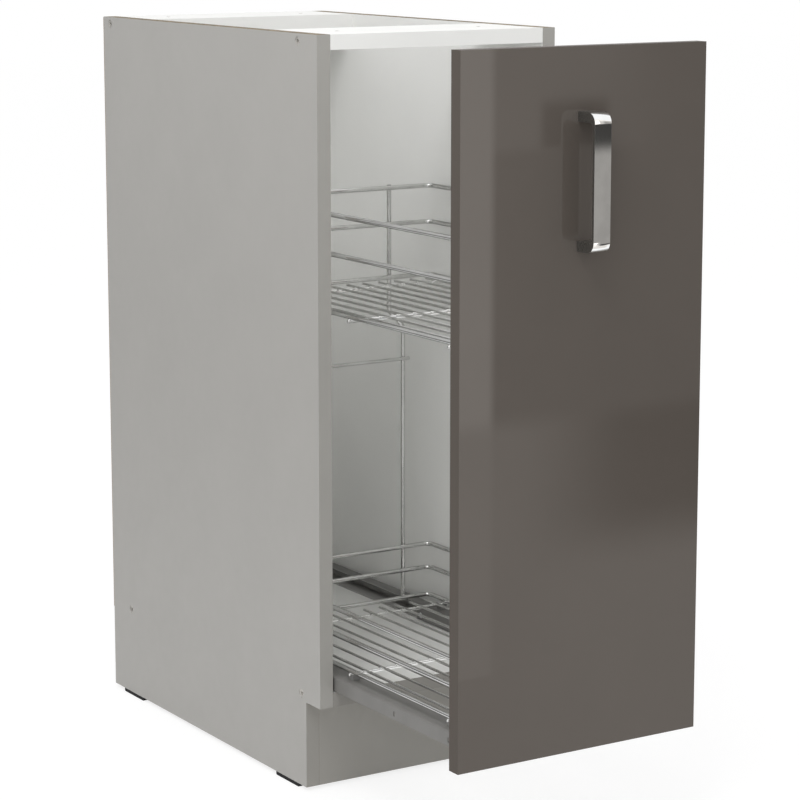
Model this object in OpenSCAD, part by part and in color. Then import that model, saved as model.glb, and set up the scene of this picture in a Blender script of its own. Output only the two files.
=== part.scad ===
// Pull-out base cabinet: a narrow carcass of coated board whose front panel draws out
// two welded wire baskets on a pair of roller runners fixed to the cabinet floor.
// Sizes are in millimetres. Z points up from the floor, the front panel faces -Y and
// X runs across the width. The stored pose is half open. The origin lies on the floor,
// in the middle of the half-open object's outline.

/* [Carcass] */
// Outer width of the carcass
cabinet_w = 300; // [280:10:400]
// Depth of the carcass with its back panel
cabinet_d = 500; // [490:5:560]
// Height of the side panels
side_h = 816; // [780:4:860]
// Thickness of the carcass boards
board_t = 16; // [15:0.5:19]
// Thickness of the back panel
back_t = 3; // [2.5:0.5:5]
// Height of the toe recess above the underside of the sides
toe_h = 96; // [80:4:140]
// Depth of the toe recess
toe_d = 30; // [25:5:50]
// Width of the front top rail
front_rail_w = 120; // [100:5:150]
// Width of the rear top rail
rear_rail_w = 100; // [80:5:150]

/* [Carcass joinery] */
// Diameter of the connecting screws
screw_d = 6.8; // [5:0.1:7.5]
// Length of the connecting screws
screw_l = 50; // [45:1:60]
// Diameter of their heads
screw_head_d = 9.6; // [9:0.1:12]
// Height of their heads
screw_head_h = 3; // [2:0.5:4]
// Depth of the heads below the side panel's face
screw_recess = 0.6; // [0.2:0.1:1]
// Distance of the front screws from the front edge
front_screw_y = 40; // [30:5:50]
// Distance of the rear rail's screws from the back of the sides
rear_screw_inset = 17; // [15:1:30]
// Distance of the rear floor screws from the back of the sides
floor_screw_inset = 47; // [30:1:70]
// Diameter of the dowels
dowel_d = 8; // [6:0.5:9]
// Length of the dowels
dowel_l = 30; // [24:1:34]
// Depth of the dowel holes in the face of a board
dowel_seat = 11.5; // [9:0.5:12.5]
// Distance from a connecting screw to the dowel beside it
dowel_offset = 50; // [40:5:60]
// Distance of the plinth dowels from the middle
plinth_dowel_x = 90; // [60:5:100]
// Diameter of the worktop screw holes in the top rails
worktop_hole_d = 5; // [4:0.5:8]
// Distance of those holes from the middle
worktop_hole_x = 90; // [40:5:92]
// Distance of the front pair from the front edge
worktop_front_y = 60; // [55:5:65]
// Distance of the rear pair from the back of the sides
worktop_rear_inset = 50; // [40:5:60]
// Edge length of the plastic blocks behind the plinth
block_w = 18; // [16:1:24]
// Height of those blocks
block_h = 40; // [34:2:60]
// Shank diameter of the small chipboard screws
small_screw_d = 3.5; // [3:0.1:4]
// Head diameter of the small chipboard screws
small_head_d = 7; // [6:0.2:8]
// Length of the small chipboard screws
small_screw_l = 13; // [11:0.5:14]
// Shank diameter of the back panel's nails
nail_d = 1.4; // [1.2:0.1:2]
// Length of those nails
nail_l = 16; // [12:1:25]
// Spacing of the nails up the sides
nail_pitch = 120; // [80:10:200]
// Distance of the first and last nail from the back panel's ends
nail_end = 36; // [25:1:60]
// Distance of the plinth blocks below the floor board
block_drop = 20; // [10:1:30]

/* [Floor glides] */
// Height of a glide
glide_h = 4; // [3:0.5:8]
// Length of a glide
glide_l = 50; // [40:2:60]
// Width of a glide
glide_w = 12; // [9:0.5:14]
// Distance of the front glides from the front edge
front_glide_y = 47; // [40:1:70]
// Distance of the rear glides from the back of the sides
rear_glide_inset = 25; // [15:1:60]
// Length of the pins that hold a glide
glide_pin_l = 12; // [8:1:15]

/* [Front panel] */
// Thickness of the front panel
front_t = 16; // [16:1:22]
// Height of the front panel
front_h = 715; // [690:5:720]
// Gap between the front panel's side edges and the cabinet's side faces
front_side_gap = 2; // [1:0.5:4]
// Height of the panel's lower edge above the floor board's underside
front_rise = 2; // [0:0.5:5]
// Gap behind the closed front panel
closed_gap = 2; // [1.5:0.5:4]
// Diameter of the bumper pads
pad_d = 8; // [6:0.5:12]
// Distance of the pads from the panel's upper and lower edges
pad_inset = 10; // [8:1:30]

/* [Handle] */
// Spacing of the handle's two screws
handle_pitch = 128; // [96:32:160]
// Distance of the handle's middle below the panel's upper edge
handle_drop = 132.5; // [100:0.5:200]
// Width of the handle
handle_w = 20; // [14:1:26]
// Thickness of the grip strap
handle_t = 3; // [2.5:0.5:5]
// Height of each leg
handle_leg = 10; // [7:0.5:12]
// Distance from the panel to the outer face of the strap
handle_reach = 28; // [24:1:40]
// Radius of the outer bends
handle_bend = 11; // [8:0.5:14]
// Diameter of the handle screws
handle_screw_d = 4; // [3.5:0.5:5]
// Length of the handle screws under the head
handle_screw_l = 24; // [20:1:32]

/* [Pull-out travel] */
// Travel from the closed front to the stored half-open pose
pull_rest = 247; // [150:1:300]
// Further travel to the end stop
pull_more = 98; // [20:1:150]

/* [Runners] */
// Length of each rail
runner_l = 450; // [400:10:460]
// Distance of the fixed rails from the front edge
runner_setback = 5; // [3:1:15]
// Outer width of the moving rail
carrier_w = 29; // [26:1:34]
// Outer height of the moving rail
carrier_h = 16; // [15:0.5:20]
// Sheet thickness of the moving rail
carrier_t = 1.2; // [1:0.1:2]
// Outer bend radius of the moving rail
carrier_bend = 2; // [1:0.5:3]
// Gap between the moving rail and the side panel
runner_side_gap = 2.5; // [1.5:0.5:6]
// Gap under the moving rail's walls
carrier_lift = 1; // [0.6:0.1:2]
// Gap between the moving rail and the fixed rail inside it
rail_gap = 1.2; // [1:0.1:2]
// Sheet thickness of the fixed rail
rail_t = 1.5; // [1.2:0.1:2]
// Running gap of each roller to its track
roller_gap = 0.3; // [0.2:0.05:0.5]
// Diameter of the front rollers
front_roller_d = 12; // [10:0.5:12.5]
// Width of all four rollers
roller_w = 12; // [8:1:14]
// Diameter of the roller pins
pin_d = 4; // [3:0.5:5]
// Diametral clearance of a roller on its pin
pin_clearance = 0.1; // [0.04:0.02:0.16]
// Distance of the front rollers behind the fixed rail's front end
front_roller_inset = 9; // [8:0.5:14]
// Distance of the rear rollers before the moving rail's rear end
rear_roller_inset = 10; // [8:0.5:20]
// Number of fixing slots in the moving rail's outer wall
slot_count = 2; // [1:1:4]
// Distance of the first slot behind the front panel
slot_inset = 26.5; // [15:0.5:40]
// Spacing of those slots
slot_pitch = 103; // [60:1:140]
// Height of those slots
slot_h = 6; // [4:0.5:8]
// Width of those slots
slot_w = 3; // [2:0.5:5]

/* [Baskets] */
// Gap between the side panels and the middle of a basket's side wires
basket_side_gap = 11.5; // [10:0.5:30]
// Free depth behind the closed baskets
basket_back_gap = 35; // [20:1:80]
// Diameter of the rim, rail and frame wires
rim_wire = 5.2; // [4:0.2:6]
// Diameter of the cross wires under a basket
cross_wire = 4; // [3:0.2:5]
// Diameter of the floor wires
floor_wire = 3; // [2:0.2:4]
// Bend radius at a basket's corners
basket_corner = 9; // [6:0.5:20]
// Spacing of the floor wires
floor_pitch = 21.3; // [16:0.1:40]
// Distance from a frame's end wire to the floor wires' ends
floor_end_gap = 17.5; // [10:0.5:30]
// Distance from a frame's end wire to the nearest cross wire
cross_inset = 34; // [25:1:80]
// Reach of the cross wires past the middle of the side wires
cross_overhang = 2; // [0:0.5:4]
// Height of the upper basket's frame above the cabinet floor
upper_rise = 410.9; // [300:0.1:470]
// Height of the upper basket's middle rail above its frame
upper_rail_rise = 61.9; // [30:0.1:70]
// Height of the upper basket's rim above its frame
upper_rim_rise = 103.8; // [80:0.1:120]
// Height of the lower basket's middle rail above its frame
lower_rail_rise = 33.2; // [20:0.2:45]
// Height of the lower basket's rim above its frame
lower_rim_rise = 61.7; // [55:0.1:120]
// Height of the clips that carry the lower basket's cross wires
clip_h = 4; // [3:0.2:8]

/* [Basket frame] */
// Diameter of the rear uprights
upright_wire = 5; // [4:0.2:6]
// Distance of the uprights' upper part from the middle
upright_x = 70; // [50:1:85]
// Sideways step of the uprights below the upper basket
upright_step = 19; // [10:1:30]
// Height of the step's upper bend below the upper frame
step_drop = 39.9; // [30:0.1:60]
// Bend radius of the step
step_bend = 8; // [6:0.5:12]
// Rise of the uprights above the upper rim
upright_top = 3; // [0:0.5:10]
// Height of the rear crossbar below the upper frame
crossbar_drop = 96.9; // [70:0.1:140]
// Reach of the crossbar past the middle of the uprights
crossbar_overhang = 5.5; // [4:0.5:12]
// Thickness of the front plates and brackets
plate_t = 2; // [1.5:0.5:3]
// Width of the front plates
plate_w = 25; // [20:1:30]
// Height of the brackets on the front panel
bracket_h = 54; // [50:1:60]

/* [Hidden] */
$fn = 48;

// Small gap between pieces of one body that touch, and the free fit of a screw
seat = 0.1;
free_fit = 0.2;
eps = 0.01;

// Planes of the carcass
x_out = cabinet_w / 2;
x_in = x_out - board_t;
side_d = cabinet_d - back_t;
z_under = glide_h + toe_h;
z_floor = z_under + board_t;
z_top = glide_h + side_h;
z_rail = z_top - board_t / 2;
z_board = z_under + board_t / 2;

// Places of the connecting screws and dowels along the depth
rail_screws_y = [front_screw_y, side_d - rear_screw_inset];
floor_screws_y = [front_screw_y, side_d - floor_screw_inset];
rail_dowels_y = [front_screw_y + dowel_offset, side_d - rear_screw_inset - dowel_offset];
floor_dowels_y = [front_screw_y + dowel_offset, side_d - floor_screw_inset - dowel_offset];
rear_rail_y = side_d - rear_rail_w;
nail_zs = [for (z = [z_under + nail_end : nail_pitch : z_top - nail_end]) z];
x_nail = x_in + board_t / 2;
nail_xs = [-x_in / 2, 0, x_in / 2];
nail_head_d = 3;
nail_head_t = 0.6;

// Front panel
y_panel = -(closed_gap + pull_rest);
front_w = cabinet_w - 2 * front_side_gap;
z_front = z_under + front_rise;
z_handle = z_front + front_h - handle_drop;
handle_screw_zs = [z_handle - handle_pitch / 2, z_handle + handle_pitch / 2];
pad_t = closed_gap - 0.3;

// Depth planes of the moving frame, counted from the back of the panel
y_seat = y_panel + plate_t + seat;
y_basket_front = y_seat + rim_wire / 2;
y_upright = side_d - pull_rest - basket_back_gap - upright_wire / 2;
y_basket_back = y_upright - upright_wire / 2 - seat - rim_wire / 2;
basket_x = x_in - basket_side_gap;

// Moving rail and fixed rail, given for the right-hand side
carrier_x = x_in - runner_side_gap;
z_carrier = z_floor + carrier_lift;
z_carrier_top = z_carrier + carrier_h;
z_web = z_carrier_top - carrier_t;
rail_out = carrier_x - carrier_t - rail_gap;
rail_in = carrier_x - carrier_w + carrier_t + rail_gap;
rail_h = z_web - rail_gap - z_floor;
y_carrier = y_seat;

// Rollers and their pins
rear_roller_d = rail_h - 2 * rail_t - 2 * roller_gap;
z_rear_roller = z_floor + rail_h / 2;
z_front_roller = z_web - roller_gap - front_roller_d / 2;
y_front_roller = runner_setback + front_roller_inset;
y_rear_roller = y_carrier + runner_l - rear_roller_inset;
pin_head_d = 7;
pin_head_t = 0.8;
roller_play = 0.3;
pin_end_gap = 0.7;
x_rollers = rail_out - rail_t - pin_end_gap - pin_head_t - roller_play - roller_w / 2;

// Basket heights
z_cross = z_carrier_top + seat + clip_h + cross_wire / 2;
frame_lift = cross_wire / 2 + seat + rim_wire / 2;
z_lower = z_cross + frame_lift;
z_upper = z_floor + upper_rise;
z_crossbar = z_upper - crossbar_drop;
y_crossbar = y_upright - upright_wire / 2 - seat - cross_wire / 2;
basket_mid_y = (y_basket_front + y_basket_back) / 2;
cross_ys = [y_basket_front + cross_inset, basket_mid_y, y_basket_back - cross_inset];

// Front plates and brackets
plate_end = 10;
z_plate = z_lower - plate_end;
plate_l = z_upper + upper_rim_rise + plate_end - z_plate;
z_rim = z_lower + lower_rim_rise;
plate_screw_zs = [
    z_lower + lower_rail_rise / 2, z_rim + (z_upper - z_rim) * 0.4, z_rim + (z_upper - z_rim) * 0.86,
    z_upper + (upper_rail_rise + upper_rim_rise) / 2
];
bracket_x = carrier_x - carrier_w / 2;
bracket_w = 24;
bracket_foot = 25;
bracket_screw_z = z_lower + lower_rail_rise / 2;
bracket_screw_xs = [bracket_x - bracket_w / 4, bracket_x + bracket_w / 4];
rivet_d = 4;
rivet_ys = [y_panel + bracket_foot * 0.36, y_panel + bracket_foot * 0.74];
z_bracket = z_carrier + 2;

// Middle of the half-open object along the depth
y_mid = (cabinet_d + y_panel - front_t - seat - handle_reach) / 2;

// Puts everything in the object's own frame
module placed() {
    translate([0, -y_mid, 0]) children();
}

// Draws its children on the right, on the left, or on both sides
module both_sides() {
    children();
    mirror([1, 0, 0]) children();
}

module on_left() {
    mirror([1, 0, 0]) children();
}

// Box from a low corner to a high corner
module block(low, high) {
    translate(low) cube(high - low);
}

// Rods along the three axes, starting at a point
module rod_x(at, l, d) {
    translate(at) rotate([0, 90, 0]) cylinder(d = d, h = l);
}

module rod_y(at, l, d) {
    translate(at) rotate([-90, 0, 0]) cylinder(d = d, h = l);
}

module rod_z(at, l, d) {
    translate(at) cylinder(d = d, h = l);
}

// Bent wire in the horizontal plane, from angle a over a quarter turn
module corner_bend(at, r, d, a) {
    translate(at) rotate([0, 0, a]) rotate_extrude(angle = 90) translate([r, 0]) circle(d = d);
}

// Closed wire loop with round corners
module wire_loop(x, y0, y1, z, d, r) {
    for (s = [-1, 1]) rod_y([s * x, y0 + r, z], y1 - y0 - 2 * r, d);
    for (y = [y0, y1]) rod_x([-x + r, y, z], 2 * (x - r), d);
    corner_bend([x - r, y1 - r, z], r, d, 0);
    corner_bend([-x + r, y1 - r, z], r, d, 90);
    corner_bend([-x + r, y0 + r, z], r, d, 180);
    corner_bend([x - r, y0 + r, z], r, d, 270);
}

// Carcass boards

// Outline of a side panel, seen from the side, with the toe recess cut out
module side_outline() {
    polygon([
        [toe_d, glide_h], [side_d, glide_h], [side_d, z_top], [0, z_top],
        [0, z_under], [toe_d, z_under]
    ]);
}

module side_board() {
    difference() {
        translate([x_in, 0, 0]) rotate([90, 0, 90]) linear_extrude(board_t) side_outline();
        for (y = rail_screws_y) side_screw_hole(y, z_rail);
        for (y = floor_screws_y) side_screw_hole(y, z_board);
        for (y = rail_dowels_y) side_dowel_hole(y, z_rail);
        for (y = floor_dowels_y) side_dowel_hole(y, z_board);
        for (y = glide_ys(), p = glide_pins(y)) {
            rod_z([x_glide, p, glide_h - 1], glide_pin_l + 1.5, glide_pin_d + free_fit);
        }
        for (z = nail_zs) rod_y([x_nail, side_d - nail_l, z], nail_l + 1, nail_d + free_fit);
        block_screw_hole_side();
    }
}

module side_screw_hole(y, z) {
    rod_x([x_in - 1, y, z], board_t + 2, screw_d + free_fit);
    rod_x([x_out - screw_recess - screw_head_h - seat, y, z], board_t, screw_head_d + free_fit);
}

module side_dowel_hole(y, z) {
    rod_x([x_in - 1, y, z], dowel_seat + 1 + seat, dowel_d + seat);
}

module side_left() {
    color([0.66, 0.65, 0.63]) placed() on_left() side_board();
}

module side_right() {
    color([0.66, 0.65, 0.63]) placed() side_board();
}

// Holes in the two ends of a board between the sides
module end_holes(screws_y, dowels_y, z) {
    both_sides() {
        for (y = screws_y) {
            rod_x([x_out - screw_recess - screw_l - 1, y, z], screw_l, screw_d + free_fit);
        }
        for (y = dowels_y) {
            rod_x([x_in - dowel_l + dowel_seat - 1, y, z], dowel_l, dowel_d + seat);
        }
    }
}

module bottom_panel() {
    color([0.95, 0.95, 0.94]) placed() difference() {
        block([-x_in + seat, 0, z_under], [x_in - seat, side_d, z_floor]);
        end_holes(floor_screws_y, floor_dowels_y, z_board);
        both_sides() {
            for (y = runner_screws_y) {
                rod_z([x_runner_screw, y, z_floor - small_screw_l], small_screw_l + 1, small_screw_d + seat);
            }
            rod_z([plinth_dowel_x, y_plinth, z_under - 1], dowel_seat + 1 + seat, dowel_d + seat);
        }
        for (x = nail_xs) rod_y([x, side_d - nail_l, z_board], nail_l + 1, nail_d + free_fit);
    }
}

module top_rail(y0, w, screw_y, dowel_y, worktop_y) {
    difference() {
        block([-x_in + seat, y0, z_top - board_t], [x_in - seat, y0 + w, z_top]);
        end_holes([screw_y], [dowel_y], z_rail);
        both_sides() rod_z([worktop_hole_x, worktop_y, z_top - board_t - 1], board_t + 2, worktop_hole_d);
    }
}

module top_rail_front() {
    color([0.95, 0.95, 0.94]) placed() {
        top_rail(0, front_rail_w, rail_screws_y[0], rail_dowels_y[0], worktop_front_y);
    }
}

module top_rail_rear() {
    color([0.95, 0.95, 0.94]) placed() difference() {
        top_rail(rear_rail_y, rear_rail_w, rail_screws_y[1], rail_dowels_y[1], side_d - worktop_rear_inset);
        for (x = nail_xs) rod_y([x, side_d - nail_l, z_rail], nail_l + 1, nail_d + free_fit);
    }
}

// Thin back panel, nailed to the rear edges
module back_panel() {
    color([0.93, 0.92, 0.9]) placed() difference() {
        block([-x_out + 1, side_d, z_under + 1], [x_out - 1, cabinet_d, z_top - 1]);
        nail_places() {
            rod_y([0, -1, 0], back_t + 2, nail_d + free_fit);
            rod_y([0, back_t - nail_head_t, 0], nail_head_t + 1, nail_head_d + free_fit);
        }
    }
}

// Copies its children, drawn at the board's face, to every nail
module nail_places() {
    for (x = nail_xs, z = [z_board, z_rail]) translate([x, side_d, z]) children();
    for (s = [-1, 1], z = nail_zs) translate([s * x_nail, side_d, z]) children();
}

module back_nails() {
    color([0.6, 0.6, 0.6]) placed() nail_places() {
        rod_y([0, back_t - nail_l, 0], nail_l, nail_d);
        rod_y([0, back_t - nail_head_t, 0], nail_head_t, nail_head_d);
    }
}

// Plinth between the sides, flush with the edges of the toe recess
y_plinth = toe_d + board_t / 2;

module plinth_panel() {
    color([0.6, 0.6, 0.58]) placed() difference() {
        block([-x_in + seat, toe_d, glide_h], [x_in - seat, toe_d + board_t, z_under - seat]);
        both_sides() {
            rod_z([plinth_dowel_x, y_plinth, z_under - dowel_l + dowel_seat - 1], dowel_l, dowel_d + seat);
            block_screw_hole_plinth();
        }
    }
}

// Plastic blocks in the corners behind the plinth, each screwed to the plinth and to a side
block_screw_l = 24;
block_z = z_under - block_h - block_drop;
block_y = toe_d + board_t + seat;
block_x = x_in - seat;
block_screw_z = [block_z + block_h * 0.3, block_z + block_h * 0.7];
block_head_depth = 5;
block_screw_end = block_screw_l - block_w + block_head_depth;
block_screw_x = block_x - block_w / 2;
block_screw_y = block_y + block_w / 2;

module block_screw_hole_side() {
    rod_x([x_in - 1, block_screw_y, block_screw_z[0]], block_screw_end + 2, small_screw_d + seat);
}

module block_screw_hole_plinth() {
    y0 = block_y - block_screw_end - 1;
    rod_y([block_screw_x, y0, block_screw_z[1]], block_screw_end + 2, small_screw_d + seat);
}

module plinth_blocks() {
    side_at = [block_x - block_w - 1, block_screw_y, block_screw_z[0]];
    plinth_at = [block_screw_x, block_y - 1, block_screw_z[1]];
    head_at = [block_screw_x, block_y + block_w - block_head_depth, block_screw_z[1]];
    color([0.93, 0.93, 0.92]) placed() both_sides() difference() {
        block([block_x - block_w, block_y, block_z], [block_x, block_y + block_w, block_z + block_h]);
        rod_x(side_at, block_w + 2, small_screw_d + free_fit);
        rod_x(side_at, block_head_depth + 1, small_head_d + free_fit);
        rod_y(plinth_at, block_w + 2, small_screw_d + free_fit);
        rod_y(head_at, block_head_depth + 1, small_head_d + free_fit);
    }
}

// Pan head screw along +Z: the shank runs down from the origin, the head stands above it
module pan_screw(d, l, head_d, head_h) {
    slot = [head_d * 0.5, head_d * 0.12, head_h];
    difference() {
        union() {
            translate([0, 0, -l]) cylinder(d = d, h = l);
            cylinder(d = head_d, h = head_h * 0.6);
            translate([0, 0, head_h * 0.6 - eps]) cylinder(d1 = head_d, d2 = head_d * 0.62, h = head_h * 0.4);
        }
        for (a = [0, 90]) rotate([0, 0, a]) translate([-slot.x / 2, -slot.y / 2, head_h * 0.45]) cube(slot);
    }
}

small_head_h = 2.2;

module plinth_block_screws() {
    color([0.75, 0.75, 0.77]) placed() both_sides() {
        translate([block_x - block_w + block_head_depth - seat, block_screw_y, block_screw_z[0]]) {
            rotate([0, -90, 0]) pan_screw(small_screw_d, block_screw_l, small_head_d, small_head_h);
        }
        translate([block_screw_x, block_y + block_w - block_head_depth + seat, block_screw_z[1]]) {
            rotate([-90, 0, 0]) pan_screw(small_screw_d, block_screw_l, small_head_d, small_head_h);
        }
    }
}

// Black glides under the sides
x_glide = x_out - board_t / 2;
glide_pin_d = 2;
glide_chamfer = 1;
glide_pin_inset = 12;

function glide_ys() = [front_glide_y, side_d - rear_glide_inset - glide_l];
function glide_pins(y) = [y + glide_pin_inset, y + glide_l - glide_pin_inset];

module glide(y) {
    translate([0, y, 0]) rotate([90, 0, 90]) translate([0, 0, x_glide - glide_w / 2]) linear_extrude(glide_w)
        polygon([
            [glide_chamfer, 0], [glide_l - glide_chamfer, 0], [glide_l, glide_chamfer],
            [glide_l, glide_h], [0, glide_h], [0, glide_chamfer]
        ]);
    for (p = glide_pins(y)) rod_z([x_glide, p, glide_h - 1], glide_pin_l + 1, glide_pin_d);
}

module floor_glides() {
    color([0.08, 0.08, 0.08]) placed() both_sides() for (y = glide_ys()) glide(y);
}

// Connecting screw with a hexagon socket, its head just below the side's face
module connecting_screw(y, z) {
    socket_d = 4.6;
    difference() {
        union() {
            rod_x([x_out - screw_recess - screw_l, y, z], screw_l - eps, screw_d);
            rod_x([x_out - screw_recess - screw_head_h, y, z], screw_head_h, screw_head_d);
        }
        translate([x_out - screw_recess - 2.4, y, z]) rotate([0, 90, 0]) {
            cylinder(d = socket_d, h = 3, $fn = 6);
        }
    }
}

module carcass_screws() {
    color([0.7, 0.7, 0.68]) placed() both_sides() {
        for (y = rail_screws_y) connecting_screw(y, z_rail);
        for (y = floor_screws_y) connecting_screw(y, z_board);
    }
}

// Fluted beech dowels, drawn plain
module dowels() {
    color([0.85, 0.7, 0.5]) placed() both_sides() {
        for (y = rail_dowels_y) rod_x([x_in - dowel_l + dowel_seat, y, z_rail], dowel_l, dowel_d);
        for (y = floor_dowels_y) rod_x([x_in - dowel_l + dowel_seat, y, z_board], dowel_l, dowel_d);
        rod_z([plinth_dowel_x, y_plinth, z_under + dowel_seat - dowel_l], dowel_l, dowel_d);
    }
}

// Fixed rail: a channel that opens to the middle of the cabinet. Its wide lower flange is
// screwed to the floor. The narrow upper one covers the rear roller's track, so that the
// screws stand clear of it, and stops short of the front roller.
rail_top_in = x_rollers - roller_w / 2 - roller_play;
x_runner_screw = (rail_in + rail_top_in) / 2;
runner_screws_y = [for (k = [0.13, 0.55, 0.93]) runner_setback + runner_l * k];
front_cut = front_roller_inset + front_roller_d / 2 + 2;
stop_t = 2;
y_stop = y_rear_roller - pull_more - rear_roller_d / 2 - 0.5 - stop_t;

module countersink(at) {
    depth = 1.4;
    rod_z([at.x, at.y, at.z - 5], 6, small_screw_d + free_fit);
    translate([at.x, at.y, at.z - depth]) {
        cylinder(d1 = small_screw_d + free_fit, d2 = small_head_d + free_fit, h = depth + eps);
    }
}

module fixed_rail() {
    z0 = z_floor;
    z1 = z_floor + rail_h;
    y0 = runner_setback;
    y1 = runner_setback + runner_l;
    difference() {
        union() {
            block([rail_in, y0, z0], [rail_out, y1, z0 + rail_t]);
            block([rail_out - rail_t, y0, z0], [rail_out, y1, z1]);
            block([rail_top_in, y0 + front_cut, z1 - rail_t], [rail_out, y1, z1]);
            block([x_rollers - roller_w / 2, y_stop, z0], [rail_out, y_stop + stop_t, z_rear_roller]);
        }
        for (y = runner_screws_y) countersink([x_runner_screw, y, z0 + rail_t]);
        rod_x([rail_out - rail_t - 1, y_front_roller, z_front_roller], rail_t + 2, pin_d + seat / 2);
    }
}

module fixed_rail_left() {
    color([0.3, 0.3, 0.29]) placed() on_left() fixed_rail();
}

module fixed_rail_right() {
    color([0.3, 0.3, 0.29]) placed() fixed_rail();
}

// Countersunk screws of the fixed rails, their heads flush with the flange
module runner_screws() {
    depth = 1.4;
    neck_d = small_screw_d - seat;
    color([0.75, 0.75, 0.77]) placed() both_sides() for (y = runner_screws_y) {
        translate([x_runner_screw, y, z_floor + rail_t - seat]) difference() {
            union() {
                translate([0, 0, -small_screw_l]) cylinder(d = neck_d, h = small_screw_l);
                translate([0, 0, -depth]) cylinder(d1 = neck_d, d2 = small_head_d - seat, h = depth);
            }
            for (a = [0, 90]) rotate([0, 0, a]) translate([-1.7, -0.4, -0.9]) cube([3.4, 0.8, 1]);
        }
    }
}

// Pin with a head at each end. It starts at the outer face of its wall and runs along +X.
module roller_pin(wall_t, reach) {
    rod_x([-pin_head_t, 0, 0], pin_head_t, pin_head_d);
    rod_x([-eps, 0, 0], wall_t + reach + eps, pin_d);
    rod_x([wall_t + reach - eps, 0, 0], pin_head_t, pin_head_d);
}

// Nylon roller with eased edges, in the middle of the track
module roller(d) {
    ease = 0.6;
    translate([-roller_w / 2, 0, 0]) rotate([0, 90, 0]) rotate_extrude() polygon([
        [(pin_d + pin_clearance) / 2, 0], [d / 2 - ease, 0], [d / 2, ease],
        [d / 2, roller_w - ease], [d / 2 - ease, roller_w], [(pin_d + pin_clearance) / 2, roller_w]
    ]);
}

module front_roller() {
    translate([x_rollers, y_front_roller, z_front_roller]) roller(front_roller_d);
}

module front_roller_left() {
    color([0.92, 0.92, 0.9]) placed() on_left() front_roller();
}

module front_roller_right() {
    color([0.92, 0.92, 0.9]) placed() front_roller();
}

module front_roller_pins() {
    reach = rail_out - rail_t - (x_rollers - roller_w / 2) + roller_play;
    color([0.7, 0.7, 0.72]) placed() both_sides() {
        translate([rail_out, y_front_roller, z_front_roller]) mirror([1, 0, 0]) roller_pin(rail_t, reach);
    }
}

module rear_roller() {
    translate([x_rollers, y_rear_roller, z_rear_roller]) roller(rear_roller_d);
}

module rear_roller_left() {
    color([0.92, 0.92, 0.9]) placed() on_left() rear_roller();
}

module rear_roller_right() {
    color([0.92, 0.92, 0.9]) placed() rear_roller();
}

module rear_roller_pins() {
    wall_x = carrier_x - carrier_w;
    reach = x_rollers + roller_w / 2 + roller_play - wall_x - carrier_t;
    color([0.7, 0.7, 0.72]) placed() both_sides() {
        translate([wall_x, y_rear_roller, z_rear_roller]) roller_pin(carrier_t, reach);
    }
}

// Front panel with its drilled back

module front_panel() {
    color([0.36, 0.33, 0.3]) placed() difference() {
        block([-front_w / 2, y_panel - front_t, z_front], [front_w / 2, y_panel, z_front + front_h]);
        for (z = handle_screw_zs) rod_y([0, y_panel - front_t - 1, z], front_t + 2, handle_screw_d + 0.5);
        both_sides() {
            for (z = plate_screw_zs) panel_pilot(upright_x, z);
            for (x = bracket_screw_xs) panel_pilot(x, bracket_screw_z);
        }
    }
}

module panel_pilot(x, z) {
    rod_y([x, y_panel - small_screw_l + plate_t - 0.5, z], small_screw_l, small_screw_d + seat);
}

// Soft pads on the back of the panel, which meet the carcass when it closes
module bumper_pads() {
    pad_zs = [z_front + pad_inset, z_front + front_h - pad_inset];
    color([0.85, 0.85, 0.83]) placed() for (s = [-1, 1], z = pad_zs) {
        rod_y([s * (x_out - board_t / 2), y_panel + seat, z], pad_t - seat, pad_d);
    }
}

// Bow handle: an upright strap on two legs, with rounded outer bends
module handle_outline() {
    half = handle_pitch / 2 + handle_leg / 2;
    inner = half - handle_leg;
    inner_reach = handle_reach - handle_t;
    inner_bend = 6;
    difference() {
        union() {
            translate([0, -half]) square([handle_reach - handle_bend, 2 * half]);
            translate([0, -half + handle_bend]) square([handle_reach, 2 * (half - handle_bend)]);
            for (s = [-1, 1]) translate([handle_reach - handle_bend, s * (half - handle_bend)]) {
                circle(r = handle_bend);
            }
        }
        translate([-1, -inner]) square([1 + inner_reach - inner_bend, 2 * inner]);
        translate([-1, -inner + inner_bend]) square([1 + inner_reach, 2 * (inner - inner_bend)]);
        for (s = [-1, 1]) translate([inner_reach - inner_bend, s * (inner - inner_bend)]) {
            circle(r = inner_bend);
        }
    }
}

handle_thread_l = handle_screw_l - front_t + 1;

module handle() {
    color([0.75, 0.76, 0.77]) placed() translate([0, y_panel - front_t - seat, z_handle]) difference() {
        translate([handle_w / 2, 0, 0]) rotate([90, 0, -90]) linear_extrude(handle_w) handle_outline();
        for (s = [-1, 1]) {
            rod_y([0, -handle_thread_l, s * handle_pitch / 2], handle_thread_l + 1, handle_screw_d + seat);
        }
    }
}

module handle_screws() {
    color([0.75, 0.75, 0.77]) placed() for (z = handle_screw_zs) {
        translate([0, y_panel + seat, z]) rotate([-90, 0, 0]) {
            pan_screw(handle_screw_d, handle_screw_l, 8, 2.4);
        }
    }
}

// Flat plates on the back of the panel, to which the front wires of the baskets are welded
module front_plate() {
    slot_l = 12;
    translate([upright_x - plate_w / 2, y_panel + seat, z_plate]) difference() {
        cube([plate_w, plate_t - seat, plate_l]);
        for (z = plate_screw_zs) translate([plate_w / 2, -1, z - z_plate]) {
            for (s = [-1, 1]) rod_y([0, 0, s * (slot_l / 2 - 2.1)], plate_t + 2, 4.2);
            translate([-2.1, 0, -slot_l / 2 + 2.1]) cube([4.2, plate_t + 2, slot_l - 4.2]);
        }
    }
}

module front_plate_left() {
    color([0.8, 0.8, 0.82]) placed() on_left() front_plate();
}

module front_plate_right() {
    color([0.8, 0.8, 0.82]) placed() front_plate();
}

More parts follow.
